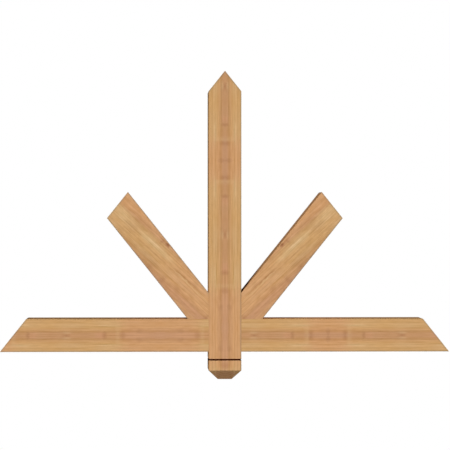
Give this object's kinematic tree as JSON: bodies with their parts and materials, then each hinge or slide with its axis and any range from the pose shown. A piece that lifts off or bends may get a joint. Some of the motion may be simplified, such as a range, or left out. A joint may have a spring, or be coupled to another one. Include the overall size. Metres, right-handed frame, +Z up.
{
  "type": "decorative gable truss",
  "caption": "Planed timber gable truss: pointed king post with a chamfered, kerfed pendant, level tie beam with rake-cut tips, and slanting struts that rise from the joint.",
  "frame": {"origin": "on the king post's centre line, on its wall side, level with the tie beam's underside", "axes": "+Z up, +X to the right as seen from the front, the front faces -Y and the wall side is y = 0"},
  "size_m": [1.2192, 0.0889, 0.8382],
  "materials": {
    "king_post_timber": "planed softwood, unfinished",
    "tie_beam_timber": "planed softwood, unfinished",
    "strut_timber": "planed softwood, unfinished",
    "tenon_hardwood": "machined hardwood",
    "dowel_hardwood": "turned hardwood",
    "screw_steel": "zinc-grey steel"
  },
  "bodies": {
    "root": {"king_post": "king_post_timber", "left_tie_beam": "tie_beam_timber", "right_tie_beam": "tie_beam_timber", "left_strut": "strut_timber", "right_strut": "strut_timber", "loose_tenon": "tenon_hardwood", "left_post_dowel_front": "dowel_hardwood", "left_post_dowel_back": "dowel_hardwood", "right_post_dowel_front": "dowel_hardwood", "right_post_dowel_back": "dowel_hardwood", "left_tie_dowel_front": "dowel_hardwood", "left_tie_dowel_back": "dowel_hardwood", "right_tie_dowel_front": "dowel_hardwood", "right_tie_dowel_back": "dowel_hardwood", "post_screw": "screw_steel", "left_inner_screw": "screw_steel", "right_inner_screw": "screw_steel", "left_outer_screw": "screw_steel", "right_outer_screw": "screw_steel"}
  },
  "joints": []
}
